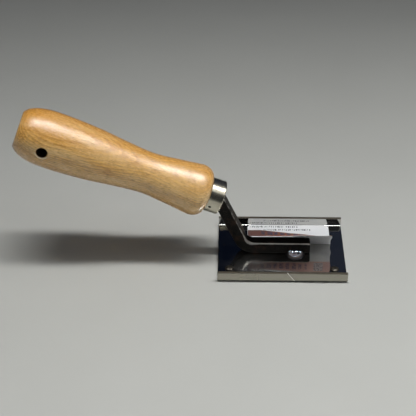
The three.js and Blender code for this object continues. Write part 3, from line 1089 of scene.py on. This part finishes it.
def make_label(sizes, front, back):
    """A thin sheet with cut round corners, a slight ripple and one corner that flares out."""
    columns = 72
    corner = sizes.label_corner
    width = LABEL_HIGH.x - LABEL_LOW.x
    sections = [label_section(sizes, k / columns) for k in range(columns + 1)]
    rows = len(sections[0])
    seat = sections[0][0].y
    vertices, faces, coordinates = [], [], []
    for row in range(rows):
        down = row / (rows - 1)
        for k, section in enumerate(sections):
            share = k / columns
            point = section[row]
            steps = [(b - a).length for a, b in zip(section, section[1:])]
            run, whole = sum(steps[:row]), sum(steps)
            to_edge = min(run, whole - run, corner)
            cut = corner - math.sqrt(to_edge * (2 * corner - to_edge))
            x = LABEL_LOW.x + cut + share * (width - 2 * cut)
            above = max(0.0, point.y - seat)
            off_flare = (above - FLARE_HEIGHT) / FLARE_REACH
            flare = max(0.0, share - FLARE_FROM) / (1 - FLARE_FROM) * math.exp(-(off_flare**2))
            flare = FLARE_SIZE * flare**2
            ripple = noise.noise(Vector((share * 7, down * 5, 2))) * min(1.0, above / 0.003)
            ripple *= RIPPLE
            vertices.append((x + flare, point.x - flare + ripple, point.y + ripple))
            coordinates.append((share, run / whole))
    for low in range((rows - 1) * (columns + 1)):
        if (low + 1) % (columns + 1):
            faces.append((low, low + 1, low + columns + 2, low + columns + 1))
    label = new_piece("paper_label", vertices, faces)
    layer = label.data.uv_layers.new(name="sheet")
    for loop in label.data.loops:
        layer.data[loop.index].uv = coordinates[loop.vertex_index]
    if label.data.polygons[0].normal.z < 0:
        label.data.flip_normals()
    label.data.materials.append(front)
    label.data.materials.append(back)
    thick = label.modifiers.new("thickness", "SOLIDIFY")
    thick.thickness = sizes.label_paper
    thick.offset = 0
    thick.material_offset = 1
    settle(label)
    label.data.shade_smooth()
    return label


# ---- Stage ----

# Focal length over the picture's width.
FOCAL_RATIO = 1100 / 416
CAMERA_PLACE = Vector((-0.03086, -0.55985, 0.4255))
CAMERA_WAY = Vector((-0.0226, 0.8197, -0.5723)).normalized()
CAMERA_ROLL = math.radians(-0.43)


def make_camera():
    """The camera, a little above the tool and in front of it."""
    data = bpy.data.cameras.new("camera")
    data.sensor_width = 36
    data.lens = FOCAL_RATIO * data.sensor_width
    data.clip_end = 20
    camera = put("camera", data)
    level = CAMERA_WAY.cross(Vector((0, 0, 1))).normalized()
    upright = level.cross(CAMERA_WAY)
    right = level * math.cos(CAMERA_ROLL) + upright * math.sin(CAMERA_ROLL)
    up = upright * math.cos(CAMERA_ROLL) - level * math.sin(CAMERA_ROLL)
    turn = Matrix((right, up, -CAMERA_WAY)).transposed()
    camera.matrix_world = Matrix.Translation(CAMERA_PLACE) @ turn.to_4x4()
    bpy.context.scene.camera = camera


def make_lamp(name, place_at, aim, long, wide, radiance):
    """A flat lamp with its long side along X."""
    data = bpy.data.lights.new(name, "AREA")
    data.shape = "RECTANGLE"
    data.size = long
    data.size_y = wide
    data.energy = radiance * math.pi * long * wide
    lamp = put(name, data)
    back = (place_at - aim).normalized()
    across = Vector((0, 1, 0)).cross(back).normalized()
    lamp.rotation_euler = Matrix((across, back.cross(across), back)).transposed().to_euler()
    lamp.location = place_at
    return lamp


# A long strip almost overhead throws the shadow. A second one only shines in the bright surfaces, and
# a softbox to the right fills in.
STRIP_PLACE = Vector((0.31, -0.028, 1.0))
STRIP_AIM = Vector((0.2, -0.19, 0))
STRIP_SPREAD = math.radians(78)
GLINT_PLACE = Vector((0.35, -0.17, 1.0))
SOFTBOX_PLACE = Vector((0.5, -0.19, 1.0))
MIDDLE = Vector((0, 0, 0))


def make_world():
    """A dim room, dark blue behind the tool and a little brighter in front and to the right."""
    world = bpy.data.worlds.new("room")
    bpy.context.scene.world = world
    world.use_nodes = True
    tree = world.node_tree
    way = add(tree, "ShaderNodeTexCoord").outputs["Generated"]
    to_right = remap(tree, axes(tree, way)["X"], -0.02, 0.11)
    to_back = remap(tree, axes(tree, way)["Y"], -0.5, 0.5)
    tone = mix(tree, to_right, (0.0035, 0.0055, 0.0125), (0.021, 0.026, 0.042))
    tone = mix(tree, to_back, (0.030, 0.032, 0.034), tone)
    tree.links.new(tone, tree.nodes["Background"].inputs["Color"])


def make_floor(colours):
    """A wide plain floor with a hardly visible cloudiness."""
    size = 4.0
    corners = [(-size, -size, 0), (size, -size, 0), (size, size, 0), (-size, size, 0)]
    floor = new_piece("floor", corners, [(0, 1, 2, 3)])
    material, tree, shader = finish_material("pale_floor", Specular_IOR_Level=0.3)
    cloud = speckle(tree, place(tree), 14.0, 6.0, 0.6)
    low, high = ([part * share for part in colours.floor] for share in (0.96, 1.04))
    tone = mix(tree, cloud, low, high)
    feed(tree, shader, Base_Color=tone, Roughness=remap(tree, cloud, 0.2, 0.8, 0.5, 0.62))
    floor.data.materials.append(material)


# ---- Operators ----


class TrowelOperator:
    """What every step of the build shares."""

    bl_options = {"REGISTER", "UNDO"}

    def execute(self, context):
        self.build(context.scene.trowel_sizes, context.scene.trowel_colours)
        return {"FINISHED"}


class TROWEL_OT_stage(TrowelOperator, bpy.types.Operator):
    """Camera, floor, room and lamps"""

    bl_idname = "trowel.stage"
    bl_label = "Stage"

    def build(self, sizes, colours):
        make_camera()
        make_floor(colours)
        make_world()
        strip = make_lamp("strip", STRIP_PLACE, STRIP_AIM, long=1.5, wide=0.09, radiance=7.4)
        strip.data.spread = STRIP_SPREAD
        glint = make_lamp("glint", GLINT_PLACE, MIDDLE, long=1.7, wide=0.16, radiance=2.8)
        glint.visible_diffuse = False
        make_lamp("softbox", SOFTBOX_PLACE, MIDDLE, long=1.18, wide=0.9, radiance=1.0)
        bpy.context.scene.view_settings.view_transform = "Standard"


class TROWEL_OT_sole(TrowelOperator, bpy.types.Operator):
    """Mirror sole with its two upright sides"""

    bl_idname = "trowel.sole"
    bl_label = "Sole"

    def build(self, sizes, colours):
        sole = make_sole(sizes)
        sole.data.materials.clear()
        sole.data.materials.append(polished_steel(colours))
        finish_piece(sole, STEEL, "sole_tray")


class TROWEL_OT_bar(TrowelOperator, bpy.types.Operator):
    """Cranked square bar with its tang"""

    bl_idname = "trowel.bar"
    bl_label = "Bar"

    def build(self, sizes, colours):
        bar = make_bar(sizes)
        bar.data.materials.append(dark_bar(colours))
        finish_piece(bar, BAR, "neck_bar")


class TROWEL_OT_weld(TrowelOperator, bpy.types.Operator):
    """Weld bead at the foot's front edge"""

    bl_idname = "trowel.weld"
    bl_label = "Weld"

    def build(self, sizes, colours):
        weld = make_weld(sizes)
        weld.data.materials.append(weld_metal(colours))
        finish_piece(weld, WELD, "foot_weld")


class TROWEL_OT_rivets(TrowelOperator, bpy.types.Operator):
    """Two rivets near the sole's front corners"""

    bl_idname = "trowel.rivets"
    bl_label = "Rivets"

    def build(self, sizes, colours):
        rivets = make_rivets(sizes, rivet_metal(colours))
        finish_piece(rivets, RIVET, "rivet_left", "rivet_right")


class TROWEL_OT_label(TrowelOperator, bpy.types.Operator):
    """Paper label behind and over the foot"""

    bl_idname = "trowel.label"
    bl_label = "Label"

    def build(self, sizes, colours):
        label = make_label(sizes, label_face(colours, True), label_face(colours, False))
        finish_piece(label, PAPER, "label")


class TROWEL_OT_ferrule(TrowelOperator, bpy.types.Operator):
    """Ferrule over the handle's spigot"""

    bl_idname = "trowel.ferrule"
    bl_label = "Ferrule"

    def build(self, sizes, colours):
        ferrule = make_ferrule(sizes, ferrule_metal(colours))
        finish_piece(ferrule, FERRULE, "ferrule")


class TROWEL_OT_grip(TrowelOperator, bpy.types.Operator):
    """Turned wooden grip"""

    bl_idname = "trowel.grip"
    bl_label = "Grip"

    def build(self, sizes, colours):
        grip = make_grip(sizes, lacquered_wood(colours))
        finish_piece(grip, WOOD, "handle_grip")


STEPS = (
    TROWEL_OT_stage,
    TROWEL_OT_sole,
    TROWEL_OT_bar,
    TROWEL_OT_weld,
    TROWEL_OT_rivets,
    TROWEL_OT_label,
    TROWEL_OT_ferrule,
    TROWEL_OT_grip,
)


class TROWEL_PT_panel(bpy.types.Panel):
    """Lists the steps of the build and its sizes and colours"""

    bl_label = "Edging trowel"
    bl_idname = "TROWEL_PT_panel"
    bl_space_type = "VIEW_3D"
    bl_region_type = "UI"
    bl_category = "Trowel"

    def draw(self, context):
        for step in STEPS:
            self.layout.operator(step.bl_idname)
        for group in (context.scene.trowel_sizes, context.scene.trowel_colours):
            for key in group.bl_rna.properties.keys():
                if key not in ("rna_type", "name"):
                    self.layout.prop(group, key)


CLASSES = (TrowelSizes, TrowelColours, *STEPS, TROWEL_PT_panel)


def register():
    for made in CLASSES:
        bpy.utils.register_class(made)
    bpy.types.Scene.trowel_sizes = PointerProperty(type=TrowelSizes)
    bpy.types.Scene.trowel_colours = PointerProperty(type=TrowelColours)


def unregister():
    del bpy.types.Scene.trowel_colours
    del bpy.types.Scene.trowel_sizes
    for made in reversed(CLASSES):
        bpy.utils.unregister_class(made)


def main():
    register()
    for step in STEPS:
        group, name = step.bl_idname.split(".")
        getattr(getattr(bpy.ops, group), name)()


if __name__ == "__main__":
    main()
